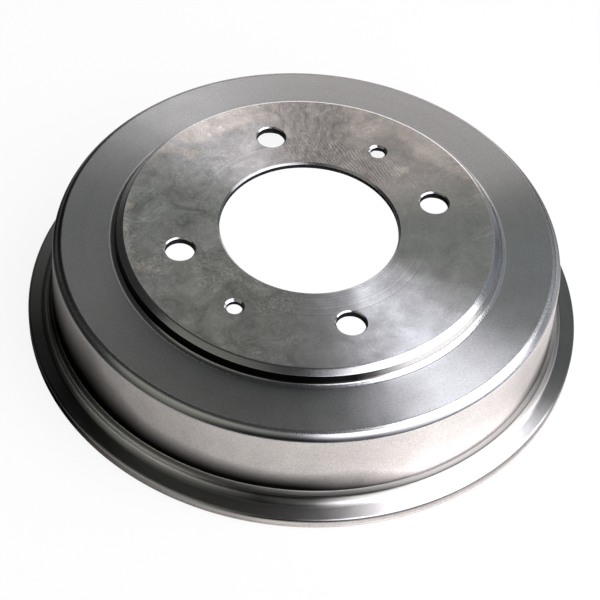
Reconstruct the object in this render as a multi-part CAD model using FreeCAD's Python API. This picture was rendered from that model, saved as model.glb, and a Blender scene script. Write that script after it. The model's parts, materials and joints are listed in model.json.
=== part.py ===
import FreeCAD, Part
import math
import os

# Driving sizes in millimetres, with +Z along the axle and the open mouth down on Z = 0
overall_height = 50.0
braking_diameter = 203.2
bolt_circle_diameter = 114.3

# Hub bore
bore_diameter = 77.0
bore_chamfer = 0.8
bore_lead_in = 2.4

# Raised wheel seat round the bore
seat_face_diameter = 159.2
boss_chamfer_width = 2.5
boss_chamfer_drop = 2.0
boss_step = 6.3
boss_foot_fillet = 2.2
hub_web_thickness = 5.6

# Recess for the hub's flange behind the wheel seat
boss_wall_thickness = 8.1
hub_recess_slope_width = 2.0
hub_recess_fillet = 1.5

# Turned shoulder outside the wheel seat
shoulder_web_thickness = 6.8
shoulder_chamfer_width = 2.9
shoulder_chamfer_drop = 3.3
shoulder_rounding = 1.2

# Cast outer wall, with draft so that it leaves the mould
wall_thickness = 7.9
wall_draft = 1.4
wall_foot_fillet = 1.0

# Stiffening ring at the mouth: a narrow ledge, then the flange
ledge_step = 5.4
ledge_width = 2.1
ledge_rounding = 0.4
flange_thickness = 5.2
flange_width = 8.6
flange_foot_fillet = 2.2
flange_chamfer = 0.9
flange_lower_edge = 0.5

# Inside of the drum
mouth_lead_in = 1.6
braking_corner_fillet = 3.0

# Holes in the web, all on the bolt circle
stud_hole_count = 4
stud_hole_diameter = 12.6
stud_hole_chamfer = 0.45
stud_hole_back_chamfer = 1.0
jack_hole_count = 2
jack_hole_diameter = 6.8
jack_hole_chamfer = 0.9
jack_hole_turn = 40.0

# Clearance by which each cutting tool stands out of the face it cuts
cut_overlap = 1.0

# Heights of the faces
face_z = overall_height
shoulder_z = face_z - boss_step
hub_seat_z = face_z - hub_web_thickness
inner_web_z = shoulder_z - shoulder_web_thickness
flange_z = flange_thickness
ledge_z = flange_z + ledge_step

# Radii, from the bore out
bore_radius = bore_diameter / 2
bolt_circle_radius = bolt_circle_diameter / 2
seat_face_radius = seat_face_diameter / 2
boss_radius = seat_face_radius + boss_chamfer_width
hub_recess_radius = boss_radius - boss_wall_thickness
braking_radius = braking_diameter / 2
wall_top_radius = braking_radius + wall_thickness
shoulder_radius = wall_top_radius - shoulder_chamfer_width
wall_foot_radius = wall_top_radius + wall_draft
ledge_radius = wall_foot_radius + ledge_width
flange_radius = ledge_radius + flange_width


def outside_corners():
    """Corners of the half section from the bore's top edge out and down to the mouth, as (r, z, rounding)."""
    return [
        (bore_radius, face_z - bore_chamfer, 0),
        (bore_radius + bore_chamfer, face_z, 0),
        (seat_face_radius, face_z, 0),
        (boss_radius, face_z - boss_chamfer_drop, 0),
        (boss_radius, shoulder_z, boss_foot_fillet),
        (shoulder_radius, shoulder_z, 0),
        (wall_top_radius, shoulder_z - shoulder_chamfer_drop, shoulder_rounding),
        (wall_foot_radius, ledge_z, wall_foot_fillet),
        (ledge_radius, ledge_z, ledge_rounding),
        (ledge_radius, flange_z, flange_foot_fillet),
        (flange_radius - flange_chamfer, flange_z, 0),
        (flange_radius, flange_z - flange_chamfer, 0),
        (flange_radius, flange_lower_edge, 0),
        (flange_radius - flange_lower_edge, 0, 0),
    ]


def inside_corners():
    """Corners of the half section from the mouth up the braking surface and back to the bore."""
    return [
        (braking_radius + mouth_lead_in, 0, 0),
        (braking_radius, mouth_lead_in, 0),
        (braking_radius, inner_web_z, braking_corner_fillet),
        (hub_recess_radius + hub_recess_slope_width, inner_web_z, hub_recess_fillet),
        (hub_recess_radius, hub_seat_z, hub_recess_fillet),
        (bore_radius + bore_lead_in, hub_seat_z, 0),
        (bore_radius, hub_seat_z + bore_lead_in, 0),
    ]


def section_point(r, z):
    return FreeCAD.Vector(r, 0, z)


def corner_round(before, here, after, rounding):
    """Start point, end point and tangent arc that round the corner at here."""
    to_before = (before - here).normalize()
    to_after = (after - here).normalize()
    half_angle = to_before.getAngle(to_after) / 2
    setback = rounding / math.tan(half_angle)
    bisector = (to_before + to_after).normalize()
    centre = here + bisector * (rounding / math.sin(half_angle))
    start = here + to_before * setback
    end = here + to_after * setback
    middle = centre - bisector * rounding
    return start, end, Part.Arc(start, middle, end).toShape()


def rounded_section(corners):
    """A closed face in the XZ plane whose corners carry true tangent arcs where they are rounded."""
    points = [section_point(r, z) for r, z, rounding in corners]
    starts = []
    ends = []
    arcs = []
    for i, (r, z, rounding) in enumerate(corners):
        start = points[i]
        end = points[i]
        arc = None
        if rounding > 0:
            after = points[(i + 1) % len(points)]
            start, end, arc = corner_round(points[i - 1], points[i], after, rounding)
        starts.append(start)
        ends.append(end)
        arcs.append(arc)
    edges = []
    for i, arc in enumerate(arcs):
        if arc is not None:
            edges.append(arc)
        edges.append(Part.makeLine(ends[i], starts[(i + 1) % len(starts)]))
    return Part.Face(Part.Wire(edges))


def turned_casting():
    """The whole drum without its web holes, turned about the axle."""
    section = rounded_section(outside_corners() + inside_corners())
    axis_start = FreeCAD.Vector(0, 0, 0)
    axis_direction = FreeCAD.Vector(0, 0, 1)
    return section.revolve(axis_start, axis_direction, 360)


def countersunk_tool(diameter, top_chamfer, back_chamfer):
    """A drill through the web on the axle, with a 45 degree countersink at both of its faces."""
    radius = diameter / 2
    below = FreeCAD.Vector(0, 0, hub_seat_z - cut_overlap)
    drill = Part.makeCylinder(radius, hub_web_thickness + 2 * cut_overlap, below)
    top_start = FreeCAD.Vector(0, 0, face_z - top_chamfer)
    top_height = top_chamfer + cut_overlap
    top = Part.makeCone(radius, radius + top_height, top_height, top_start)
    back_height = back_chamfer + cut_overlap
    back = Part.makeCone(radius + back_height, radius, back_height, below)
    return drill.fuse(top).fuse(back)


def on_bolt_circle(tool, count, first_angle):
    """Copies of a cutting tool spread evenly over the bolt circle from the first angle."""
    copies = []
    for i in range(count):
        placed = tool.copy()
        placed.translate(FreeCAD.Vector(bolt_circle_radius, 0, 0))
        angle = first_angle + i * 360 / count
        placed.rotate(FreeCAD.Vector(0, 0, 0), FreeCAD.Vector(0, 0, 1), angle)
        copies.append(placed)
    return copies


def stud_holes():
    tool = countersunk_tool(stud_hole_diameter, stud_hole_chamfer, stud_hole_back_chamfer)
    return on_bolt_circle(tool, stud_hole_count, 0)


def jack_holes():
    """Threaded holes for pushing the drum off its hub, drawn at the thread's core."""
    tool = countersunk_tool(jack_hole_diameter, jack_hole_chamfer, jack_hole_chamfer)
    return on_bolt_circle(tool, jack_hole_count, jack_hole_turn)


def brake_drum():
    drum = turned_casting()
    for tool in stud_holes() + jack_holes():
        drum = drum.cut(tool)
    return drum


os.makedirs("parts", exist_ok=True)
brake_drum().exportStep("parts/brake_drum.step")
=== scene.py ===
import json
import math

import bpy
from bpy.props import FloatProperty, FloatVectorProperty, IntProperty, PointerProperty
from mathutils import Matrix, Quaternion, Vector


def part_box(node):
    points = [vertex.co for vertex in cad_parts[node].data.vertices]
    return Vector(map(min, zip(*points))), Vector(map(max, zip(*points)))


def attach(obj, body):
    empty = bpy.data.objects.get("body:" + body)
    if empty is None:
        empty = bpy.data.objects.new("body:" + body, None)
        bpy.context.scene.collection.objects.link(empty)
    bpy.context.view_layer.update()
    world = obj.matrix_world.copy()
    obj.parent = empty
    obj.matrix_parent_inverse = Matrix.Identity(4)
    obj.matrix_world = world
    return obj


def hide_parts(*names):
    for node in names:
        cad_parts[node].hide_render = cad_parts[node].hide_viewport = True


bl_info = {
    "name": "Brake Drum",
    "version": (1, 0, 0),
    "blender": (4, 5, 0),
    "location": "3D View > Sidebar > Brake Drum",
    "description": "Models a turned brake drum, gives each of its faces a finish and sets up its studio",
    "category": "Add Mesh",
}

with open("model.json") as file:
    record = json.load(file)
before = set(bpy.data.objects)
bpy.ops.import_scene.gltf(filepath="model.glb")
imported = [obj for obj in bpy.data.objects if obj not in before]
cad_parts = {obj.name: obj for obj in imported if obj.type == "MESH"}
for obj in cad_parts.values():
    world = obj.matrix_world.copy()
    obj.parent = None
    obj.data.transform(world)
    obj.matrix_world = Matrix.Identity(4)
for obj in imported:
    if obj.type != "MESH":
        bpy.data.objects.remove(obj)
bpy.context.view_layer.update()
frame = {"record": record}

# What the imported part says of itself, in metres
NODE = "brake_drum"
BOX_LOW, BOX_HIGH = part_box(NODE)
MOUNTS = {mount["name"]: mount for mount in frame["record"]["mounts"]}
BORE_RADIUS = MOUNTS["hub_bore"]["dims"]["r_mm"] / 1000
BRAKING_RADIUS = MOUNTS["braking_surface"]["dims"]["r_mm"] / 1000
PITCH_RADIUS = MOUNTS["wheel_studs"]["dims"]["pcd_mm"] / 2000
STUD_HOLE_RADIUS = MOUNTS["wheel_studs"]["dims"]["hole_r_mm"] / 1000
STUD_HOLES = MOUNTS["wheel_studs"]["dims"]["count"]
HUB_SEAT_Z = MOUNTS["hub_seat"]["pos_m"][2]
JACK_HOLE_RADIUS = MOUNTS["jack_hole_a"]["dims"]["r_mm"] / 1000
JACK_HOLE_PLACE = MOUNTS["jack_hole_a"]["pos_m"]
JACK_HOLE_TURN = math.atan2(JACK_HOLE_PLACE[1], JACK_HOLE_PLACE[0])

RADIAL_STEPS = 360
DRILL_SIDES = 96
ARC_STEP = math.radians(11)
FINE_ROUNDING = 0.0005
SMOOTH_ANGLE = math.radians(35)
SMALL = 1e-5

# How far up its normal points on a level face, and at least on a chamfer
LEVEL = 0.9
SLOPING = 0.3
# Within the web, all that lies further than this inside the wheel seat's edge is bore or hole
SEAT_MARGIN = 0.001
# Where one finish takes over from the next within a rounding, as a share of its radius
STEP_ENDS = 0.27
WALL_ENDS = 0.3
LEDGE_EDGE_ENDS = 0.5
LEDGE_ENDS = 0.1
RIM_BEGINS = 0.75

# Depth of the rim's groove, as a share of half its width
GROOVE_DEPTH = 0.7
# Width of the camera's sensor, in millimetres
SENSOR_WIDTH = 36.0
# Distances from the axle between which the floor passes from under the drum to round it, and then fades
FOOTPRINT = (0.116, 0.121)
FLOOR_FADE = (0.19, 0.52)
# A highlight across the cut, as a share of a turn
ACROSS_THE_CUT = 0.25
# How ragged the borders of a turned face's painted shade and light are, as a share of a turn
CLEAN_BORDER = 0.008

# How a finish changes round the axle, as (degrees from a stud hole on +X, share of its colour)
NO_PAINTED_LIGHT = ((0, 1), (360, 1))
# Painted shade of the boss's step, darkest round the side where it mirrors dark
STEP_PAINTED_SHADE = ((0, 0.9), (150, 0.3), (178, 0.02), (194, 0.01), (250, 0.01), (266, 0.012), (271, 0.12),
            (282, 0.9), (360, 0.9))
# Painted light and shade of the boss, bore and shoulder edges: above 1 a painted highlight, below 1 painted
# shade
BOSS_EDGE_PAINTED_LIGHT_SHADE = ((0, 1.15), (9, 1.3), (39, 1.2), (120, 1.1), (165, 1), (194, 1.2), (219, 1.1), (240, 0.9),
                 (249, 0.7), (258, 0.9), (264, 1.1), (340, 1), (360, 1.15))
BORE_EDGE_PAINTED_LIGHT_SHADE = ((0, 1.3), (20, 1.4), (60, 1.1), (90, 0.75), (110, 0.6), (130, 0.45), (160, 0.75), (200, 1),
                 (270, 0.9), (309, 0.65), (330, 0.8), (360, 1.3))
SHOULDER_EDGE_PAINTED_LIGHT_SHADE = ((0, 0.7), (20, 0.6), (120, 0.4), (163, 0.2), (180, 0.5), (196, 1.05), (228, 1.2),
                     (250, 0.8), (268, 1), (300, 1.15), (324, 1.3), (345, 0.9), (360, 0.7))
# How strongly painted lines of shade, standing for dark reflections, darken the rounded edges of shoulder,
# ledge and flange
SHOULDER_SHADE_LINE = ((0, 0.4), (60, 0.35), (120, 0.2), (150, 0.75), (205, 0.6), (222, 0.35), (240, 0.9),
                 (266, 0.92), (280, 0.6), (292, 0.2), (310, 0.05), (335, 0.2), (360, 0.4))
LEDGE_SHADE_LINE = ((0, 0), (215, 0), (226, 0.3), (238, 0.9), (256, 0.95), (268, 0.85), (280, 0.25),
              (300, 0.15), (320, 0.1), (335, 0), (360, 0))
FLANGE_FOOT_SHADE_LINE = ((0, 0.4), (100, 0), (200, 0), (212, 0.4), (222, 0.65), (240, 0.5), (252, 0.35), (260, 0),
                    (292, 0), (318, 0.6), (345, 0.65), (360, 0.4))
FLANGE_SHADE_LINE = ((0, 0), (150, 0.3), (190, 0.5), (212, 0), (232, 0.3), (243, 0.95), (262, 0.9), (275, 0.8),
               (300, 0.4), (318, 0), (360, 0))
# Painted light and shade of the ledge, and painted shade of its edge
LEDGE_PAINTED_LIGHT_SHADE = ((0, 0.8), (163, 0.3), (178, 0.15), (194, 0.25), (208, 0.8), (222, 1.1), (234, 0.5), (243, 0.1),
             (254, 0.2), (260, 0.7), (270, 1.1), (290, 1.2), (309, 1.2), (326, 1), (345, 1), (360, 0.8))
LEDGE_EDGE_PAINTED_SHADE = ((0, 0.7), (163, 0.2), (178, 0.06), (194, 0.25), (208, 0.8), (220, 1), (236, 1), (250, 0.9),
                  (262, 0.5), (279, 0.39), (294, 0.4), (309, 0.46), (319, 0.3), (329, 0.57), (340, 0.95),
                  (360, 0.7))
# Painted light and shade of the flange: the 2 is a painted highlight, the lows painted shade
FLANGE_PAINTED_LIGHT_SHADE = ((0, 0.55), (120, 0.8), (163, 0.3), (176, 0.13), (196, 0.13), (212, 0.6), (222, 0.9),
              (249, 0.75), (256, 1), (264, 2), (275, 1.4), (309, 1.2), (316, 0.6), (326, 0.46),
              (345, 0.44), (360, 0.55))
# Painted light and shade of the cast wall and rim: lighter where light falls, darker where they lie in shade
WALL_PAINTED_LIGHT_SHADE = ((0, 0.85), (100, 0.8), (150, 0.5), (170, 0.42), (180, 0.46), (196, 0.38), (219, 0.5),
            (234, 0.65), (249, 0.78), (264, 0.9), (279, 1.2), (296, 1.25), (309, 1.15), (324, 1.28),
            (345, 1.25), (360, 0.95))
RIM_PAINTED_LIGHT_SHADE = ((0, 0.85), (150, 0.4), (170, 0.03), (198, 0.025), (212, 0.22), (219, 0.32), (234, 0.46),
           (249, 0.82), (264, 0.95), (300, 0.95), (324, 1.25), (345, 1.25), (360, 0.85))
# Where the painted shade at the wall's foot is darkest and where it ends, as shares of the drum's height
FOOT_LOW = ((0, 0.2), (170, 0.3), (196, 0.285), (216, 0.24), (250, 0.24), (264, 0.175), (279, 0.05),
            (309, 0), (324, 0.12), (345, 0.2), (360, 0.2))
FOOT_HIGH = ((0, 0.6), (170, 0.85), (198, 0.82), (216, 0.5), (250, 0.43), (264, 0.47), (279, 0.27),
             (303, 0.28), (309, 0.36), (324, 0.6), (345, 0.7), (360, 0.6))
# The curve of the foot's darkening and what it leaves of the wall's colour
FOOT_CURVE = 1.5
FOOT_LEFT = 0.015
# How each kind of mark changes round the wheel seat, as (degrees, strength)
SCRAWL_ROUND = ((0, 0.45), (60, 0.6), (130, 0.6), (146, 1), (238, 1), (250, 0.5), (280, 0.3), (360, 0.45))
CHATTER_ROUND = ((0, 0), (16, 0.1), (30, 1), (66, 1), (92, 0), (360, 0))
DRIPS_ROUND = ((0, 0), (50, 0.2), (60, 1), (84, 1), (96, 0.1), (360, 0))
FEED_ROUND = ((0, 0.15), (70, 0.2), (84, 1), (125, 1), (140, 0.3), (240, 0.3), (256, 1), (310, 1),
              (325, 0.15), (360, 0.15))
PATCHES_ROUND = ((0, 0.4), (14, 0.44), (22, 0.61), (60, 0.6), (66, 0.3), (80, 0.32), (86, 0.6), (120, 0.52),
                 (140, 0.38), (180, 0.36), (228, 0.36), (250, 0.2), (315, 0.15), (360, 0.4))
WARM_ROUND = ((0, 0.2), (20, 1), (110, 1), (135, 0), (325, 0), (360, 0.2))
# The bluish tint is a painted reflection of the lavender lights
BLUISH_REFLECTION_ROUND = ((0, 0), (84, 0), (100, 0.5), (128, 0.5), (145, 0), (236, 0), (262, 1), (300, 1), (320, 0),
                (360, 0))


class DrumSizes(bpy.types.PropertyGroup):
    """Sizes of the turned section, in metres"""

    height: FloatProperty(
        name="Height", description="Open mouth to wheel seat", default=BOX_HIGH.z, unit="LENGTH")
    flange_radius: FloatProperty(
        name="Flange radius", description="Outside of the mouth flange", default=BOX_HIGH.x, unit="LENGTH")
    bore_radius: FloatProperty(
        name="Bore radius", description="Hub bore", default=BORE_RADIUS, unit="LENGTH")
    bore_chamfer: FloatProperty(
        name="Bore chamfer", description="Chamfer at the bore's wheel side", default=0.0008, unit="LENGTH")
    bore_lead_in: FloatProperty(
        name="Bore lead-in", description="Chamfer at the bore's hub side", default=0.0029, unit="LENGTH")
    seat_radius: FloatProperty(
        name="Wheel seat radius", description="Edge of the flat wheel seat", default=0.0796, unit="LENGTH")
    boss_chamfer_width: FloatProperty(
        name="Boss chamfer width", description="Width of the boss's outer chamfer", default=0.0025,
        unit="LENGTH")
    boss_chamfer_drop: FloatProperty(
        name="Boss chamfer drop", description="Height of the boss's outer chamfer", default=0.002,
        unit="LENGTH")
    boss_edge_rounding: FloatProperty(
        name="Boss edge rounding", description="Rounding from wheel seat to chamfer", default=0.0012,
        unit="LENGTH")
    boss_step: FloatProperty(
        name="Boss step", description="Drop from wheel seat to shoulder", default=0.0063, unit="LENGTH")
    boss_draft: FloatProperty(
        name="Boss draft", description="How much wider the boss is at its foot", default=0.0008,
        unit="LENGTH")
    boss_foot_fillet: FloatProperty(
        name="Boss foot fillet", description="Fillet where the step meets the shoulder", default=0.003,
        unit="LENGTH")
    shoulder_radius: FloatProperty(
        name="Shoulder radius", description="Edge of the flat shoulder", default=0.1066, unit="LENGTH")
    wall_top_radius: FloatProperty(
        name="Wall top radius", description="Outside of the cast wall at its top", default=0.1095,
        unit="LENGTH")
    shoulder_chamfer_drop: FloatProperty(
        name="Shoulder chamfer drop", description="Height of the shoulder's chamfer", default=0.0033,
        unit="LENGTH")
    shoulder_edge_rounding: FloatProperty(
        name="Shoulder edge rounding", description="Rounding from shoulder to chamfer", default=0.0024,
        unit="LENGTH")
    shoulder_rounding: FloatProperty(
        name="Shoulder rounding", description="Rounding from chamfer to wall", default=0.0033, unit="LENGTH")
    wall_foot_radius: FloatProperty(
        name="Wall foot radius", description="Outside of the cast wall at its foot", default=0.1109,
        unit="LENGTH")
    wall_foot_fillet: FloatProperty(
        name="Wall foot fillet", description="Fillet at the wall's foot", default=0.0006, unit="LENGTH")
    ledge_z: FloatProperty(
        name="Ledge height", description="Narrow ledge above the flange", default=0.0106, unit="LENGTH")
    ledge_radius: FloatProperty(
        name="Ledge radius", description="Edge of the narrow ledge", default=0.113, unit="LENGTH")
    ledge_fall: FloatProperty(
        name="Ledge fall", description="How much lower the ledge's edge is than its foot", default=0.0009,
        unit="LENGTH")
    ledge_rounding: FloatProperty(
        name="Ledge rounding", description="Rounding of the ledge's edge", default=0.0013, unit="LENGTH")
    flange_z: FloatProperty(
        name="Flange thickness", description="Height of the mouth flange", default=0.0052, unit="LENGTH")
    flange_foot_fillet: FloatProperty(
        name="Flange foot fillet", description="Fillet where the ledge meets the flange", default=0.0032,
        unit="LENGTH")
    flange_edge_rounding: FloatProperty(
        name="Flange edge rounding", description="Rounding of the flange's upper edge", default=0.0011,
        unit="LENGTH")
    rim_groove: FloatProperty(
        name="Rim groove", description="Half the width of the fine groove round the rim", default=0.0004,
        unit="LENGTH")
    rim_groove_z: FloatProperty(
        name="Rim groove height", description="Where the fine groove runs round the rim", default=0.0015,
        unit="LENGTH")
    flange_lower_edge: FloatProperty(
        name="Flange lower edge", description="Chamfer at the flange's lower edge", default=0.0005,
        unit="LENGTH")
    mouth_lead_in: FloatProperty(
        name="Mouth lead-in", description="Chamfer into the braking surface", default=0.0016, unit="LENGTH")
    braking_radius: FloatProperty(
        name="Braking radius", description="Bored surface that the shoes rub", default=BRAKING_RADIUS,
        unit="LENGTH")
    braking_corner_fillet: FloatProperty(
        name="Braking corner fillet", description="Fillet between braking surface and web", default=0.003,
        unit="LENGTH")
    inner_web_z: FloatProperty(
        name="Inner web height", description="Underside of the web outside the recess", default=0.0369,
        unit="LENGTH")
    recess_radius: FloatProperty(
        name="Hub recess radius", description="Recess for the hub's flange", default=0.074, unit="LENGTH")
    recess_slope: FloatProperty(
        name="Hub recess slope", description="Width of the recess's sloping side", default=0.002,
        unit="LENGTH")
    recess_fillet: FloatProperty(
        name="Hub recess fillet", description="Fillets of the recess", default=0.0015, unit="LENGTH")
    hub_seat_z: FloatProperty(
        name="Hub seat height", description="Face that rests on the hub", default=HUB_SEAT_Z, unit="LENGTH")
    edge_break: FloatProperty(
        name="Edge break", description="Rounding of the turned edges", default=0.00018, unit="LENGTH")
    stud_chamfer: FloatProperty(
        name="Stud hole chamfer", description="Chamfer at the wheel side", default=0.00055, unit="LENGTH")
    stud_back_chamfer: FloatProperty(
        name="Stud hole back chamfer", description="Chamfer at the hub side", default=0.0024, unit="LENGTH")
    jack_chamfer: FloatProperty(
        name="Jacking hole chamfer", description="Countersink of the jacking holes", default=0.0009,
        unit="LENGTH")
    jack_back_chamfer: FloatProperty(
        name="Jacking hole back chamfer", description="Chamfer at the hub side", default=0.003,
        unit="LENGTH")
    cut_overlap: FloatProperty(
        name="Cut overlap", description="How far each drill stands out of the web", default=0.001,
        unit="LENGTH")


class DrumColours(bpy.types.PropertyGroup):
    """Colours of the finishes"""

    seat: FloatVectorProperty(
        name="Wheel seat", description="Faced iron under a film of oil", subtype="COLOR", size=3,
        min=0, max=1, default=(0.395, 0.4, 0.385))
    shoulder: FloatVectorProperty(
        name="Shoulder", description="Fine turned iron", subtype="COLOR", size=3,
        min=0, max=1, default=(0.385, 0.394, 0.388))
    edge: FloatVectorProperty(
        name="Turned edges", description="Bright chamfers, steps and fillets", subtype="COLOR", size=3,
        min=0, max=1, default=(0.5, 0.505, 0.5))
    step: FloatVectorProperty(
        name="Steps", description="Sides of the boss and of the ledge", subtype="COLOR", size=3,
        min=0, max=1, default=(0.81, 0.8, 0.75))
    ledge: FloatVectorProperty(
        name="Ledge", description="Top of the narrow ledge", subtype="COLOR", size=3,
        min=0, max=1, default=(0.52, 0.51, 0.465))
    # Near black: painted shade that stands for the dark these walls mirror inside the drum
    drilled: FloatVectorProperty(
        name="Drilled walls", description="Walls of the bore and the holes", subtype="COLOR", size=3,
        min=0, max=1, default=(0.02, 0.02, 0.021))
    # The flange's darkness and glare come from painted shade and light round the axle
    flange: FloatVectorProperty(
        name="Flange", description="Smooth turned iron, dark with oil", subtype="COLOR", size=3,
        min=0, max=1, default=(0.5, 0.5, 0.485))
    wall: FloatVectorProperty(
        name="Cast wall", description="Blasted casting skin", subtype="COLOR", size=3,
        min=0, max=1, default=(0.79, 0.74, 0.7))
    # Near white: painted light, so that the inside of the drum seen through bore and holes reads white
    braking: FloatVectorProperty(
        name="Braking surface", description="Bored iron", subtype="COLOR", size=3,
        min=0, max=1, default=(0.99, 0.99, 0.98))


class StageSettings(bpy.types.PropertyGroup):
    """Camera and light"""

    camera_azimuth: FloatProperty(
        name="Camera azimuth", description="Turn round the drum's axle", default=math.radians(-21.02),
        unit="ROTATION")
    camera_elevation: FloatProperty(
        name="Camera elevation", description="Height above the horizon", default=math.radians(47.84),
        unit="ROTATION")
    camera_roll: FloatProperty(
        name="Camera roll", description="Tilt about the line of sight", default=math.radians(5.02),
        unit="ROTATION")
    camera_distance: FloatProperty(
        name="Camera distance", description="From the aim point", default=0.7516, unit="LENGTH")
    camera_aim: FloatVectorProperty(
        name="Camera aim", description="Point in the middle of the picture", subtype="TRANSLATION", size=3,
        default=(-0.00858, -0.01893, 0.025))
    lens: FloatProperty(
        name="Lens", description="Focal length in millimetres on a 36 mm sensor", default=104.76)
    floor_size: FloatProperty(
        name="Floor size", description="Side of the floor", default=12.0, unit="LENGTH")
    floor_white: FloatProperty(
        name="Floor white", description="Share of plain white in what the metal mirrors of the floor",
        default=0.7, min=0, max=1, subtype="FACTOR")
    background_white: FloatProperty(
        name="Background white", description="Share of plain white in what the camera sees of the floor",
        default=0.9, min=0, max=1, subtype="FACTOR")
    world_level: FloatProperty(
        name="World level", description="Even light from all round", default=0.03)


def deselect_all():
    for each in bpy.context.selected_objects:
        each.select_set(False)


def make_active(obj):
    deselect_all()
    obj.select_set(True)
    bpy.context.view_layer.objects.active = obj


def select_vertices(obj, wanted):
    """In edit mode, selects the vertices for which wanted(place) is true."""
    bpy.ops.mesh.select_mode(type="VERT")
    bpy.ops.mesh.select_all(action="DESELECT")
    bpy.ops.object.mode_set(mode="OBJECT")
    for vertex in obj.data.vertices:
        vertex.select = wanted(vertex.co)
    bpy.ops.object.mode_set(mode="EDIT")


def near(place, target):
    return (place - target).length < SMALL


def outside_corners(s):
    """Section corners from the bore's upper edge down to the mouth, as (radius, height, rounding)."""
    shoulder_z = s.height - s.boss_step
    chamfer_z = shoulder_z - s.shoulder_chamfer_drop
    boss_radius = s.seat_radius + s.boss_chamfer_width
    return [
        (s.bore_radius, s.height - s.bore_chamfer, s.edge_break),
        (s.bore_radius + s.bore_chamfer, s.height, s.edge_break),
        (s.seat_radius, s.height, s.boss_edge_rounding),
        (boss_radius, s.height - s.boss_chamfer_drop, s.edge_break * 2),
        (boss_radius + s.boss_draft, shoulder_z, s.boss_foot_fillet),
        (s.shoulder_radius, shoulder_z, s.shoulder_edge_rounding),
        (s.wall_top_radius, chamfer_z, s.shoulder_rounding),
        (s.wall_foot_radius, s.ledge_z, s.wall_foot_fillet),
        (s.ledge_radius, s.ledge_z - s.ledge_fall, s.ledge_rounding),
        (s.ledge_radius, s.flange_z, s.flange_foot_fillet),
        (s.flange_radius, s.flange_z, s.flange_edge_rounding),
        (s.flange_radius, s.rim_groove_z + s.rim_groove, s.edge_break),
        (s.flange_radius - s.rim_groove * GROOVE_DEPTH, s.rim_groove_z, s.edge_break),
        (s.flange_radius, s.rim_groove_z - s.rim_groove, s.edge_break),
        (s.flange_radius, s.flange_lower_edge, s.edge_break),
        (s.flange_radius - s.flange_lower_edge, 0, s.edge_break),
    ]


def inside_corners(s):
    """Section corners from the mouth up the braking surface and back to the bore."""
    return [
        (s.braking_radius + s.mouth_lead_in, 0, s.edge_break),
        (s.braking_radius, s.mouth_lead_in, s.edge_break),
        (s.braking_radius, s.inner_web_z, s.braking_corner_fillet),
        (s.recess_radius + s.recess_slope, s.inner_web_z, s.recess_fillet),
        (s.recess_radius, s.hub_seat_z, s.recess_fillet),
        (s.bore_radius + s.bore_lead_in, s.hub_seat_z, s.edge_break),
        (s.bore_radius, s.hub_seat_z + s.bore_lead_in, s.edge_break),
    ]


def corner_places(corners):
    return [Vector((radius, 0, height)) for radius, height, rounding in corners]


def draw_outline(name, corners):
    """A closed wire loop through the corners, in the XZ plane, left in edit mode."""
    places = corner_places(corners)
    bpy.ops.mesh.primitive_plane_add(size=0.01)
    obj = bpy.context.object
    obj.name = name
    obj.data.name = name
    bpy.ops.object.mode_set(mode="EDIT")
    bpy.ops.mesh.select_all(action="SELECT")
    bpy.ops.mesh.merge(type="CENTER")
    bpy.ops.transform.translate(value=places[0])
    for start, end in zip(places, places[1:]):
        bpy.ops.mesh.extrude_vertices_move(TRANSFORM_OT_translate={"value": end - start})
    select_vertices(obj, lambda place: near(place, places[0]) or near(place, places[-1]))
    bpy.ops.mesh.edge_face_add()
    return obj


def round_corners(obj, corners):
    """Rounds each corner of the wire loop with a tangent arc of its own radius."""
    places = corner_places(corners)
    for i, here in enumerate(places):
        rounding = corners[i][2]
        to_before = (places[i - 1] - here).normalized()
        to_after = (places[(i + 1) % len(places)] - here).normalized()
        half_angle = to_before.angle(to_after) / 2
        setback = rounding / math.tan(half_angle)
        turn = math.pi - 2 * half_angle
        segments = 2 if rounding < FINE_ROUNDING else max(2, round(turn / ARC_STEP))
        select_vertices(obj, lambda place: near(place, here))
        bpy.ops.mesh.bevel(offset_type="OFFSET", offset=setback, segments=segments, affect="VERTICES",
                           clamp_overlap=False)


def turn_section(obj):
    """Spins the loop about the axle into a closed solid with its faces outwards."""
    bpy.ops.mesh.select_all(action="SELECT")
    bpy.ops.mesh.spin(steps=RADIAL_STEPS, angle=math.tau, center=(0, 0, 0), axis=(0, 0, 1))
    bpy.ops.mesh.select_all(action="SELECT")
    bpy.ops.mesh.remove_doubles(threshold=SMALL)
    bpy.ops.mesh.normals_make_consistent(inside=False)
    bpy.ops.object.mode_set(mode="OBJECT")


def drill(name, radius, bottom, top, back_chamfer, top_chamfer, overlap):
    """A drill on the axle through the web, with a countersink at each face."""
    length = top - bottom + 2 * overlap
    middle = (top + bottom) / 2
    bpy.ops.mesh.primitive_cylinder_add(
        vertices=DRILL_SIDES, radius=radius, depth=length, location=(0, 0, middle))
    obj = bpy.context.object
    obj.name = name
    bpy.ops.object.transform_apply(location=True, rotation=True, scale=True)
    bpy.ops.object.mode_set(mode="EDIT")
    for height in (top - top_chamfer, bottom + back_chamfer):
        bpy.ops.mesh.select_all(action="SELECT")
        bpy.ops.mesh.bisect(plane_co=(0, 0, height), plane_no=(0, 0, 1))
    for end, chamfer in ((top + overlap, top_chamfer), (bottom - overlap, back_chamfer)):
        select_vertices(obj, lambda place: abs(place.z - end) < SMALL)
        factor = (radius + chamfer + overlap) / radius
        bpy.ops.transform.resize(value=(factor, factor, 1), center_override=(0, 0, end))
    bpy.ops.mesh.select_all(action="SELECT")
    bpy.ops.mesh.normals_make_consistent(inside=False)
    bpy.ops.object.mode_set(mode="OBJECT")
    return obj


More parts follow.
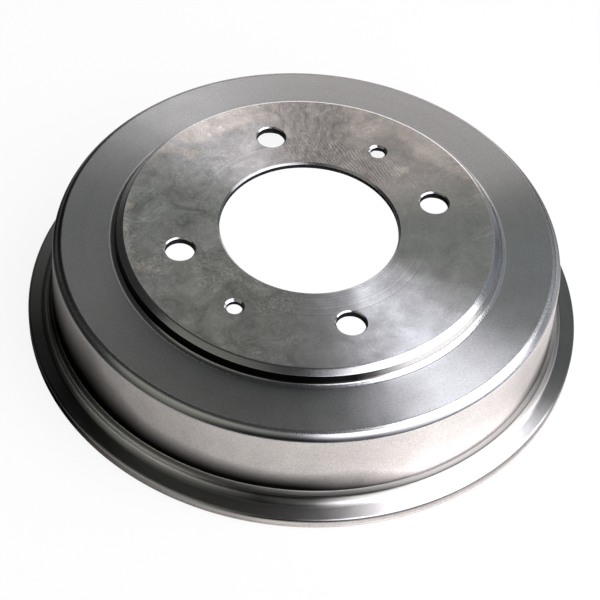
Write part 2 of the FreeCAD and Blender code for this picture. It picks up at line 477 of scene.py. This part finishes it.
def round_the_pitch_circle(tool, count, first_turn):
    """Copies of a drill, each with its own mesh, spread over the pitch circle."""
    copies = []
    for i in range(count):
        copy = tool.copy()
        copy.data = tool.data.copy()
        bpy.context.scene.collection.objects.link(copy)
        turn = first_turn + i * math.tau / count
        copy.location = (PITCH_RADIUS * math.cos(turn), PITCH_RADIUS * math.sin(turn), 0)
        copies.append(copy)
    bpy.data.objects.remove(tool)
    return copies


def cut_holes(drum, s):
    """Cuts the stud holes and the jacking holes through the web."""
    stud = drill("stud_drill", STUD_HOLE_RADIUS, s.hub_seat_z, s.height,
                 s.stud_back_chamfer, s.stud_chamfer, s.cut_overlap)
    jack = drill("jack_drill", JACK_HOLE_RADIUS, s.hub_seat_z, s.height,
                 s.jack_back_chamfer, s.jack_chamfer, s.cut_overlap)
    drills = round_the_pitch_circle(stud, STUD_HOLES, 0)
    drills += round_the_pitch_circle(jack, 2, JACK_HOLE_TURN)
    make_active(drills[0])
    for each in drills:
        each.select_set(True)
    bpy.ops.object.join()
    cutter = bpy.context.object
    make_active(drum)
    cut = drum.modifiers.new("web_holes", "BOOLEAN")
    cut.operation = "DIFFERENCE"
    cut.solver = "EXACT"
    cut.object = cutter
    bpy.ops.object.modifier_apply(modifier=cut.name)
    bpy.data.objects.remove(cutter)


class Sketch:
    """One finish's node tree, filled from top to bottom."""

    def __init__(self, name):
        self.material = bpy.data.materials.new(name)
        self.material.use_nodes = True
        self.tree = self.material.node_tree
        self.shader = self.tree.nodes["Principled BSDF"]

    def link(self, source, target):
        self.tree.links.new(source, target)

    def fill(self, socket, value):
        if isinstance(value, bpy.types.NodeSocket):
            self.link(value, socket)
        else:
            socket.default_value = value

    def add(self, kind, *values, **settings):
        node = self.tree.nodes.new(kind)
        for key, value in settings.items():
            setattr(node, key, value)
        for socket, value in zip(node.inputs, values):
            self.fill(socket, value)
        return node

    def calc(self, operation, *values):
        return self.add("ShaderNodeMath", *values, operation=operation).outputs[0]

    def vector_calc(self, operation, *values):
        return self.add("ShaderNodeVectorMath", *values, operation=operation).outputs[0]

    def place(self):
        """Object coordinates in metres."""
        return self.add("ShaderNodeTexCoord").outputs["Object"]

    def split(self, vector):
        return self.add("ShaderNodeSeparateXYZ", vector).outputs

    def scale(self, vector, factor):
        """A colour or direction times a factor."""
        node = self.add("ShaderNodeVectorMath", vector, operation="SCALE")
        self.fill(node.inputs["Scale"], factor)
        return node.outputs[0]

    def noise(self, vector, waves, detail=2.0, roughness=0.5, distortion=0.0):
        """Soft noise with a number of waves to the metre, so 1000 waves are a millimetre apart."""
        node = self.add("ShaderNodeTexNoise")
        self.link(vector, node.inputs["Vector"])
        node.inputs["Scale"].default_value = waves
        node.inputs["Detail"].default_value = detail
        node.inputs["Roughness"].default_value = roughness
        node.inputs["Distortion"].default_value = distortion
        return node.outputs["Fac"]

    def spread(self, value, low, high, to_low=0.0, to_high=1.0):
        """Maps low to to_low and high to to_high, smoothly, and stays level beyond them."""
        node = self.add("ShaderNodeMapRange", interpolation_type="SMOOTHSTEP")
        levels = {"Value": value, "From Min": low, "From Max": high, "To Min": to_low, "To Max": to_high}
        for key, level in levels.items():
            self.fill(node.inputs[key], level)
        return node.outputs["Result"]

    def blend(self, value, low, high, to_low=0.0, to_high=1.0):
        """As spread, along a straight line."""
        result = self.spread(value, low, high, to_low, to_high)
        result.node.interpolation_type = "LINEAR"
        return result

    def mix(self, factor, first, second):
        node = self.add("ShaderNodeMix", data_type="RGBA", blend_type="MIX")
        self.fill(node.inputs["Factor"], factor)
        self.fill(node.inputs["A"], first)
        self.fill(node.inputs["B"], second)
        return node.outputs["Result"]

    def bump(self, height, depth, below=None):
        node = self.add("ShaderNodeBump")
        node.inputs["Strength"].default_value = 1.0
        node.inputs["Distance"].default_value = depth
        self.link(height, node.inputs["Height"])
        if below is not None:
            self.link(below, node.inputs["Normal"])
        return node.outputs["Normal"]

    def height(self):
        """Height above the open mouth."""
        return self.split(self.place())[2]

    def radius(self):
        """Distance from the axle."""
        x, y, z = self.split(self.place())
        return self.calc("SQRT", self.calc("ADD", self.calc("MULTIPLY", x, x), self.calc("MULTIPLY", y, y)))

    def ring_vector(self):
        """Distance from the axle and height: the same all round a turned ring."""
        return self.add("ShaderNodeCombineXYZ", self.radius(), self.height(), 0.0).outputs[0]

    def leaning_normal(self, degrees):
        """The surface's normal, tilted away from the axle."""
        tilt = self.scale(self.outward(), math.tan(math.radians(degrees)))
        normal = self.add("ShaderNodeNewGeometry").outputs["Normal"]
        return self.vector_calc("NORMALIZE", self.vector_calc("ADD", normal, tilt))

    def outward(self):
        """The level direction from the axle to each point."""
        x, y, z = self.split(self.place())
        return self.vector_calc("NORMALIZE", self.add("ShaderNodeCombineXYZ", x, y, 0.0).outputs[0])

    def round_the_ring(self, stops, ragged=0.02):
        """A value that changes round the axle, between (degrees, value) stops, with a ragged border."""
        x, y, z = self.split(self.place())
        turn = self.calc("DIVIDE", self.calc("ARCTAN2", y, x), math.tau)
        drift = self.calc("SUBTRACT", self.noise(self.place(), 35.0, detail=5.0, roughness=0.6), 0.5)
        turn = self.calc("FRACT", self.calc("ADD", turn, self.calc("MULTIPLY", drift, ragged)))
        node = self.add("ShaderNodeValToRGB", turn)
        elements = node.color_ramp.elements
        for degrees, value in stops[1:-1]:
            elements.new(degrees / 360).color = (value, value, value, 1)
        for element, (degrees, value) in ((elements[0], stops[0]), (elements[-1], stops[-1])):
            element.position = degrees / 360
            element.color = (value, value, value, 1)
        return node.outputs["Color"]

    def stripes(self, value, spacing, wander):
        """Light and dark stripes a spacing apart along value, from 0 to 1, with a wandering line."""
        phase = self.calc("ADD", self.calc("MULTIPLY", value, math.tau / spacing), wander)
        return self.calc("MULTIPLY_ADD", self.calc("SINE", phase), 0.5, 0.5)

    def strengthen(self, shade, pattern, middle, amount, where=None):
        """Scales shade by a pattern's distance from its middle, by an amount, where a mask allows."""
        swing = self.calc("MULTIPLY", self.calc("SUBTRACT", pattern, middle), amount)
        if where is not None:
            swing = self.calc("MULTIPLY", swing, where)
        return self.calc("MULTIPLY", shade, self.calc("ADD", swing, 1.0))

    def along_the_turning(self):
        """The direction in which the lathe cut each point."""
        across = self.vector_calc("CROSS_PRODUCT", (0, 0, 1), self.place())
        return self.vector_calc("NORMALIZE", across)


def turned_metal(name, base, roughness, anisotropy=0.3, ring_depth=0.000003, mottle=0.05, speckle=0.1,
                 lean=0.0, oil=NO_PAINTED_LIGHT, marks=None, rim=1.0):
    """Shared ground of the turned faces: fine rings, a fine mottle and a highlight stretched across the cut.

    The lean is the mean tilt, outwards in degrees, of the flanks that the tool's feed leaves. The rim is how
    much of the metal's gain at a glancing view is left under its oil."""
    sketch = Sketch(name)
    shader = sketch.shader
    shader.inputs["Metallic"].default_value = 1.0
    shader.inputs["Anisotropic"].default_value = anisotropy
    shader.inputs["Anisotropic Rotation"].default_value = ACROSS_THE_CUT
    shader.inputs["Specular Tint"].default_value = (rim, rim, rim, 1)
    rings = sketch.ring_vector()
    fine = sketch.noise(rings, 1800.0, detail=3.0, roughness=0.6)
    broad = sketch.noise(rings, 260.0)
    cloud = sketch.noise(sketch.place(), 90.0, detail=7.0, roughness=0.68)
    grain = sketch.noise(sketch.place(), 1100.0)
    # The oil stops are painted shade and painted light round the axle
    shade = sketch.round_the_ring(oil, CLEAN_BORDER)
    shade = sketch.strengthen(shade, cloud, middle=0.5, amount=mottle * 2.4)
    shade = sketch.strengthen(shade, grain, middle=0.5, amount=speckle)
    shade = sketch.strengthen(shade, broad, middle=0.5, amount=mottle)
    tinted = sketch.scale(tuple(base), shade)
    if marks is not None:
        tinted = marks(sketch, tinted)
    sketch.link(tinted, shader.inputs["Base Color"])
    swing = mottle * 0.6
    rough = sketch.spread(cloud, 0.3, 0.7, roughness * (1 - swing), roughness * (1 + swing))
    sketch.link(rough, shader.inputs["Roughness"])
    sketch.link(sketch.bump(fine, ring_depth, sketch.leaning_normal(lean)), shader.inputs["Normal"])
    sketch.link(sketch.along_the_turning(), shader.inputs["Tangent"])
    return sketch.material


def smeared_scrawl(sketch, place, slow, swirl):
    """Looping scratches and smears of handling, strongest on the left."""
    scrawl = sketch.spread(sketch.calc("PINGPONG", sketch.calc("MULTIPLY", swirl, 17.0), 0.5), 0.22, 0.46)
    on_left = sketch.round_the_ring(SCRAWL_ROUND)
    faint = sketch.calc("MULTIPLY", on_left, sketch.spread(slow, 0.4, 0.62, 0.1, 1.0))
    shade = sketch.strengthen(1.0, scrawl, middle=0.2, amount=0.42, where=faint)
    smear = sketch.noise(place, 75.0, detail=9.0, roughness=0.72, distortion=1.0)
    return sketch.strengthen(shade, smear, middle=0.48, amount=2.3, where=on_left)


def chatter(sketch, shade, place, swirl):
    """Wavering stripes that the tool left behind the bore."""
    wander = sketch.calc("MULTIPLY", sketch.noise(place, 170.0, detail=3.0), 15.0)
    slant = sketch.add("ShaderNodeVectorMath", place, (0.98, 0.19, 0), operation="DOT_PRODUCT")
    stripes = sketch.stripes(slant.outputs["Value"], 0.0014, wander)
    stripes = sketch.calc("MULTIPLY", stripes, sketch.spread(swirl, 0.35, 0.6, 0.3, 1.0))
    inner = sketch.spread(sketch.radius(), 0.052, 0.062, 1.0, 0.0)
    behind = sketch.calc("MULTIPLY", sketch.round_the_ring(CHATTER_ROUND), inner)
    return sketch.strengthen(shade, stripes, middle=0.5, amount=0.56, where=behind)


def drips(sketch, shade):
    """Dark drips of oil that ran in from the edge at the far side."""
    streaks = sketch.add("ShaderNodeCombineXYZ", 0.0, 0.0, sketch.calc("MULTIPLY", sketch.radius(), 5.0))
    streaks = sketch.vector_calc("ADD", sketch.outward(), streaks.outputs[0])
    runs = sketch.noise(streaks, 30.0, detail=4.0, roughness=0.6, distortion=1.0)
    return sketch.strengthen(shade, runs, middle=0.55, amount=1.5, where=sketch.round_the_ring(DRIPS_ROUND))


def feed_rings(sketch, shade):
    """Rings of the tool's feed, plain only next to the bore."""
    across = sketch.add("ShaderNodeCombineXYZ", 0.0, 0.0, sketch.radius()).outputs[0]
    feed = sketch.noise(across, 1000.0, detail=3.0)
    by_bore = sketch.spread(sketch.radius(), 0.048, 0.056, 1.0, 0.0)
    ringed = sketch.calc("MULTIPLY", by_bore, sketch.round_the_ring(FEED_ROUND))
    return sketch.strengthen(shade, feed, middle=0.5, amount=1.3, where=ringed)


def dried_patches_and_reflection_tint(sketch, slow):
    """Bare seat's tint, paler patches where its oil dried, mostly near the edge, and a painted bluish
    reflection.
    """
    at_edge = sketch.blend(sketch.radius(), 0.06, 0.0785, -0.12, 0.13)
    reach = sketch.round_the_ring(PATCHES_ROUND)
    dry = sketch.spread(sketch.calc("ADD", sketch.calc("ADD", slow, at_edge), reach), 1.02, 1.12)
    ground = sketch.mix(sketch.round_the_ring(WARM_ROUND), (0.99, 1, 0.985, 1), (1.06, 1, 0.995, 1))
    ground = sketch.mix(sketch.round_the_ring(BLUISH_REFLECTION_ROUND), ground, (1.06, 1.07, 1.12, 1))
    return sketch.mix(dry, ground, (1.36, 1.27, 1.22, 1))


def seat_marks(sketch, tinted):
    """Handling and tool marks of the wheel seat."""
    place = sketch.place()
    slow = sketch.noise(place, 48.0, detail=4.0, roughness=0.55, distortion=0.5)
    swirl = sketch.noise(place, 85.0, distortion=1.2)
    shade = smeared_scrawl(sketch, place, slow, swirl)
    shade = chatter(sketch, shade, place, swirl)
    shade = drips(sketch, shade)
    shade = feed_rings(sketch, shade)
    patched = sketch.vector_calc("MULTIPLY", tinted, dried_patches_and_reflection_tint(sketch, slow))
    return sketch.scale(patched, shade)


def painted_shade_lines(*lines):
    """Marks of soft dark lines of painted shade round the drum, standing for dark reflections.

    Each line is its bottom, middle and top in metres and its strength round the axle."""
    def marks(sketch, tinted):
        left = 1.0
        for bottom, middle, top, stops in lines:
            below = sketch.spread(sketch.height(), bottom, middle)
            above = sketch.spread(sketch.height(), middle, top, 1.0, 0.0)
            line = sketch.calc("MULTIPLY", below, above)
            line = sketch.calc("MULTIPLY", line, sketch.round_the_ring(stops))
            left = sketch.calc("MULTIPLY", left, sketch.calc("SUBTRACT", 1.0, line))
        return sketch.scale(tinted, left)
    return marks


# Painted shade lines under the rounded edges, standing for dark reflections
SHOULDER_SHADE_MARKS = painted_shade_lines((0.0391, 0.0412, 0.0427, SHOULDER_SHADE_LINE))
LEDGE_SHADE_MARKS = painted_shade_lines((0.0066, 0.0096, 0.0106, LEDGE_SHADE_LINE), (0.0048, 0.0058, 0.0077, FLANGE_FOOT_SHADE_LINE))
FLANGE_SHADE_MARKS = painted_shade_lines((0.0032, 0.0046, 0.0052, FLANGE_SHADE_LINE))


def wheel_seat_finish(colours):
    return turned_metal("faced_wheel_seat", colours.seat, roughness=0.34, anisotropy=0.87,
                        ring_depth=0.00002, mottle=0.2, speckle=0.4, lean=2.5, marks=seat_marks)


def shoulder_finish(colours):
    return turned_metal("turned_shoulder", colours.shoulder, roughness=0.33, anisotropy=0.89,
                        ring_depth=0.00001, mottle=0.1, speckle=0.55, lean=5.0)


def boss_edge_finish(colours):
    return turned_metal("bright_boss_edge", colours.edge, roughness=0.25, anisotropy=0.45, oil=BOSS_EDGE_PAINTED_LIGHT_SHADE)


def bore_edge_finish(colours):
    return turned_metal("bore_edge", colours.edge, roughness=0.25, anisotropy=0.45, oil=BORE_EDGE_PAINTED_LIGHT_SHADE)


def shoulder_edge_finish(colours):
    return turned_metal("shoulder_edge", colours.edge, roughness=0.27, mottle=0.06, oil=SHOULDER_EDGE_PAINTED_LIGHT_SHADE,
                        marks=SHOULDER_SHADE_MARKS, rim=0.35)


# The step's darkness round one side is painted shade
def step_finish(colours):
    return turned_metal("step_painted_shade", colours.step, roughness=0.25, oil=STEP_PAINTED_SHADE)


# The ledge's light and shade round the axle are painted
def ledge_finish(colours):
    return turned_metal("ledge_painted_light_shade", colours.step, roughness=0.4, mottle=0.06, oil=LEDGE_PAINTED_LIGHT_SHADE,
                        marks=LEDGE_SHADE_MARKS, rim=0.4)


def ledge_edge_finish(colours):
    return turned_metal("ledge_edge", colours.ledge, roughness=0.4, mottle=0.06, oil=LEDGE_EDGE_PAINTED_SHADE,
                        marks=LEDGE_SHADE_MARKS, rim=0.4)


# The flange's light and shade round the axle are painted, its glare a painted highlight
def flange_finish(colours):
    return turned_metal("turned_flange_painted_light_shade", colours.flange, roughness=0.31, anisotropy=0.85,
                        ring_depth=0.00002, mottle=0.08, speckle=0.2, lean=6.0, oil=FLANGE_PAINTED_LIGHT_SHADE,
                        marks=FLANGE_SHADE_MARKS, rim=0.5)


# Its near-white colour is painted light for the inside seen through bore and holes
def braking_finish(colours):
    return turned_metal("bored_braking_surface_painted_light", colours.braking, roughness=0.35, anisotropy=0.7,
                        ring_depth=0.00002)


def wall_foot(sketch, tinted):
    """Painted shade that darkens the wall towards its foot, in the corner above the flange."""
    share = sketch.calc("DIVIDE", sketch.height(), BOX_HIGH.z)
    foot = sketch.blend(share, sketch.round_the_ring(FOOT_LOW), sketch.round_the_ring(FOOT_HIGH))
    return sketch.scale(tinted, sketch.calc("MAXIMUM", sketch.calc("POWER", foot, FOOT_CURVE), FOOT_LEFT))


def cast_finish(name, base, oil, marks, rim):
    """Blasted casting skin: fine grain, faint patches, a satin shine under its oil, and painted shade and
    light.
    """
    sketch = Sketch(name)
    shader = sketch.shader
    shader.inputs["Metallic"].default_value = 1.0
    shader.inputs["Specular Tint"].default_value = (rim, rim, rim, 1)
    shader.inputs["Roughness"].default_value = 0.42
    grain = sketch.noise(sketch.place(), 1500.0, detail=3.0, roughness=0.65)
    patches = sketch.noise(sketch.place(), 70.0, detail=4.0, roughness=0.6)
    # The oil stops are painted shade and painted light round the axle
    shade = sketch.round_the_ring(oil)
    shade = sketch.strengthen(shade, patches, middle=0.5, amount=0.3)
    shade = sketch.strengthen(shade, grain, middle=0.5, amount=0.9)
    tinted = sketch.scale(tuple(base), shade)
    sketch.link(marks(sketch, tinted), shader.inputs["Base Color"])
    sketch.link(sketch.bump(grain, 0.00004), shader.inputs["Normal"])
    return sketch.material


def drilled_finish(colours):
    """Walls of the bore and the holes, near black: painted shade for the dark that they mirror."""
    sketch = Sketch("drilled_wall_painted_shade")
    shader = sketch.shader
    shader.inputs["Specular IOR Level"].default_value = 0.0
    shader.inputs["Roughness"].default_value = 0.5
    cloud = sketch.noise(sketch.place(), 400.0, detail=4.0, roughness=0.6)
    tinted = sketch.scale(tuple(colours.drilled), sketch.spread(cloud, 0.3, 0.7, 0.7, 1.3))
    sketch.link(tinted, shader.inputs["Base Color"])
    sketch.link(sketch.bump(cloud, 0.00005), shader.inputs["Normal"])
    return sketch.material


def face_zone(s, centre, normal):
    """Which finish a face takes, by its place on the section: the key of finishes()."""
    radius = math.hypot(centre.x, centre.y)
    boss_radius = s.seat_radius + s.boss_chamfer_width
    boss_edge_z = s.height - s.boss_chamfer_drop - SMALL
    shoulder_z = s.height - s.boss_step
    shoulder_edge_z = shoulder_z - s.shoulder_chamfer_drop - SMALL
    wall_z = s.ledge_z + s.wall_foot_fillet * WALL_ENDS
    wall_foot_radius = s.wall_foot_radius - s.wall_foot_fillet
    ledge_edge_z = s.ledge_z - s.ledge_fall - s.ledge_rounding * LEDGE_EDGE_ENDS
    rim_radius = s.flange_radius - s.flange_edge_rounding
    if centre.z > s.height - SMALL and radius < s.seat_radius:
        return "seat"
    if abs(centre.z - shoulder_z) < SMALL and radius > boss_radius and normal.z > LEVEL:
        return "shoulder"
    if radius < s.seat_radius - SEAT_MARGIN and centre.z > s.hub_seat_z + SMALL:
        if centre.z < s.height - s.jack_chamfer or normal.z < SLOPING:
            return "drilled"
        return "bore_edge" if radius < s.bore_radius + s.bore_chamfer + SMALL else "boss_edge"
    if radius < s.wall_top_radius and centre.z > shoulder_z - SMALL:
        on_step = boss_edge_z > centre.z > shoulder_z + s.boss_foot_fillet * STEP_ENDS
        return "step" if on_step else "boss_edge"
    if centre.z > shoulder_edge_z and radius > s.shoulder_radius - s.shoulder_edge_rounding:
        return "shoulder_edge"
    if radius > s.wall_top_radius - s.shoulder_rounding and centre.z > wall_z:
        return "wall"
    if radius > wall_foot_radius and centre.z > ledge_edge_z:
        return "ledge_edge"
    if radius > wall_foot_radius and centre.z > s.flange_z + s.flange_foot_fillet * LEDGE_ENDS:
        return "ledge"
    if radius > rim_radius and centre.z < s.flange_z - s.flange_edge_rounding * RIM_BEGINS:
        return "rim"
    if radius > s.ledge_radius and centre.z > SMALL:
        return "flange"
    return "braking"


def finishes(colours):
    """The material of each zone."""
    return {
        "seat": wheel_seat_finish(colours),
        "shoulder": shoulder_finish(colours),
        "boss_edge": boss_edge_finish(colours),
        "bore_edge": bore_edge_finish(colours),
        "shoulder_edge": shoulder_edge_finish(colours),
        "step": step_finish(colours),
        "ledge": ledge_finish(colours),
        "ledge_edge": ledge_edge_finish(colours),
        "flange": flange_finish(colours),
        "wall": cast_finish("cast_wall", colours.wall, WALL_PAINTED_LIGHT_SHADE, wall_foot, rim=0.42),
        "rim": cast_finish("cast_rim", colours.wall, RIM_PAINTED_LIGHT_SHADE, FLANGE_SHADE_MARKS, rim=0.05),
        "drilled": drilled_finish(colours),
        "braking": braking_finish(colours),
    }


class DRUM_OT_casting(bpy.types.Operator):
    """Turn the drum's section, drill its web and give each face its finish"""

    bl_idname = "drum.casting"
    bl_label = "Brake Drum"

    def execute(self, context):
        s = context.scene.drum_sizes
        corners = outside_corners(s) + inside_corners(s)
        deselect_all()
        drum = draw_outline("turned_drum", corners)
        round_corners(drum, corners)
        turn_section(drum)
        cut_holes(drum, s)
        places = {}
        for zone, material in finishes(context.scene.drum_colours).items():
            places[zone] = len(places)
            drum.data.materials.append(material)
        for face in drum.data.polygons:
            face.material_index = places[face_zone(s, face.center, face.normal)]
        make_active(drum)
        bpy.ops.object.shade_smooth_by_angle(angle=SMOOTH_ANGLE)
        even = drum.modifiers.new("even_normals", "WEIGHTED_NORMAL")
        even.keep_sharp = True
        bpy.ops.object.modifier_apply(modifier=even.name)
        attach(drum, "root")
        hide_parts(NODE)
        return {"FINISHED"}


def from_camera_side(settings, azimuth, elevation):
    """The direction at an azimuth from the picture's right and at a height above the floor."""
    turn = math.radians(azimuth) + settings.camera_azimuth
    rise = math.radians(elevation)
    return Vector((math.cos(turn) * math.cos(rise), math.sin(turn) * math.cos(rise), math.sin(rise)))


def hang(name, data, place, turn):
    """A lamp or camera at its place in the studio, turned by a quaternion."""
    obj = bpy.data.objects.new(name, data)
    bpy.context.scene.collection.objects.link(obj)
    obj.location = place
    obj.rotation_mode = "QUATERNION"
    obj.rotation_quaternion = turn
    return obj


def add_panel_light(settings, name, azimuth, elevation, distance, width, height, level, tint):
    """A flat soft light that faces the drum. Its level is the brightness that a mirror would show."""
    direction = from_camera_side(settings, azimuth, elevation)
    lamp = bpy.data.lights.new(name, "AREA")
    lamp.shape = "RECTANGLE"
    lamp.size = width
    lamp.size_y = height
    lamp.color = tint
    lamp.energy = level * math.pi * width * height
    hung = hang(name, lamp, direction * distance, direction.to_track_quat("Z", "Y"))
    hung.visible_camera = False


def floor_material(settings):
    """Pale floor, nearly white round the object with its shadow kept, and plain white under the drum."""
    sketch = Sketch("studio_floor")
    sketch.tree.nodes.remove(sketch.shader)
    distance = sketch.add("ShaderNodeVectorMath", sketch.place(), operation="LENGTH").outputs["Value"]
    near_drum = sketch.spread(distance, *FLOOR_FADE, 1.0, 0.0)
    paper = sketch.mix(near_drum, (0.4, 0.4, 0.4, 1), (0.9, 0.9, 0.9, 1))
    matt = sketch.add("ShaderNodeBsdfDiffuse", paper).outputs[0]
    white = sketch.add("ShaderNodeEmission", (1, 1, 1, 1), 1.0).outputs[0]
    path = sketch.add("ShaderNodeLightPath").outputs
    mirrored = sketch.calc("MAXIMUM", path["Is Glossy Ray"], path["Is Transmission Ray"])
    # Under the drum the floor is plain white for camera and metal: painted light where the drum's shadow
    # falls
    under = sketch.blend(distance, *FOOTPRINT, 1.0, settings.floor_white)
    share = sketch.calc("MULTIPLY", sketch.calc("MULTIPLY", mirrored, under), near_drum)
    seen = sketch.blend(distance, *FOOTPRINT, 1.0, settings.background_white)
    share = sketch.calc("MULTIPLY_ADD", path["Is Camera Ray"], seen, share)
    mixed = sketch.add("ShaderNodeMixShader", share, matt, white).outputs[0]
    sketch.link(mixed, sketch.tree.nodes["Material Output"].inputs["Surface"])
    return sketch.material


def add_camera(settings):
    back = from_camera_side(settings, -90, math.degrees(settings.camera_elevation))
    camera = bpy.data.cameras.new("camera")
    camera.sensor_width = SENSOR_WIDTH
    camera.lens = settings.lens
    camera.clip_start = 0.01
    camera.clip_end = 100.0
    place = Vector(settings.camera_aim) + back * settings.camera_distance
    turned = (-back).to_track_quat("-Z", "Y") @ Quaternion((0, 0, 1), settings.camera_roll)
    bpy.context.scene.camera = hang("camera", camera, place, turned)


class DRUM_OT_stage(bpy.types.Operator):
    """Lay the floor, hang the soft lights and set up the camera"""

    bl_idname = "drum.stage"
    bl_label = "Studio"

    def execute(self, context):
        settings = context.scene.drum_stage
        deselect_all()
        bpy.ops.mesh.primitive_plane_add(size=settings.floor_size)
        floor = context.object
        floor.name = "studio_floor"
        floor.data.materials.append(floor_material(settings))
        lavender = (0.985, 0.96, 1.055)
        pinkish = (1.06, 0.975, 0.985)
        neutral = (0.985, 1.0, 0.985)
        olive = (1.02, 1.0, 0.9)
        bluish = (0.87, 0.98, 1.12)
        # Name, azimuth and elevation in degrees, distance, width and height in metres, level, tint
        panels = (
            ("front_right_panel", -31, 31, 1.6, 2.8, 1.15, 3.8, lavender),
            ("high_right_panel", 8, 60, 1.6, 1.0, 0.62, 7.0, lavender),
            ("right_panel", 40, 26, 1.7, 1.0, 1.0, 0.32, bluish),
            ("back_panel", 87, 12, 1.7, 1.5, 0.7, 2.5, pinkish),
            ("back_middle_panel", 90, 30, 1.7, 1.4, 0.35, 0.95, pinkish),
            ("back_upper_panel", 90, 47, 1.7, 1.3, 0.6, 0.42, neutral),
            ("left_panel", 232, 30, 1.7, 2.3, 0.7, 0.38, olive),
            ("left_upper_panel", 224, 48, 1.7, 1.5, 0.36, 0.18, olive),
        )
        for name, azimuth, elevation, distance, width, height, level, tint in panels:
            add_panel_light(settings, name, azimuth, elevation, distance, width, height, level, tint)
        add_camera(settings)
        world = bpy.data.worlds.new("studio_world")
        world.use_nodes = True
        background = world.node_tree.nodes["Background"]
        background.inputs["Color"].default_value = (0.92, 1.0, 0.95, 1)
        background.inputs["Strength"].default_value = settings.world_level
        context.scene.world = world
        context.scene.view_settings.view_transform = "Standard"
        return {"FINISHED"}


class DRUM_PT_sidebar(bpy.types.Panel):
    """Lists the drum's steps, sizes and colours"""

    bl_idname = "DRUM_PT_sidebar"
    bl_label = "Brake Drum"
    bl_space_type = "VIEW_3D"
    bl_region_type = "UI"
    bl_category = "Brake Drum"

    def draw(self, context):
        layout = self.layout
        layout.operator(DRUM_OT_casting.bl_idname)
        layout.operator(DRUM_OT_stage.bl_idname)
        for group in (context.scene.drum_sizes, context.scene.drum_colours, context.scene.drum_stage):
            box = layout.box()
            for name in group.bl_rna.properties.keys():
                if name not in ("rna_type", "name"):
                    box.prop(group, name)


CLASSES = (DrumSizes, DrumColours, StageSettings, DRUM_OT_casting, DRUM_OT_stage, DRUM_PT_sidebar)


def register():
    for each in CLASSES:
        bpy.utils.register_class(each)
    bpy.types.Scene.drum_sizes = PointerProperty(type=DrumSizes)
    bpy.types.Scene.drum_colours = PointerProperty(type=DrumColours)
    bpy.types.Scene.drum_stage = PointerProperty(type=StageSettings)


def unregister():
    del bpy.types.Scene.drum_stage
    del bpy.types.Scene.drum_colours
    del bpy.types.Scene.drum_sizes
    for each in reversed(CLASSES):
        bpy.utils.unregister_class(each)


def main():
    register()
    bpy.ops.drum.casting()
    bpy.ops.drum.stage()


if __name__ == "__main__":
    main()
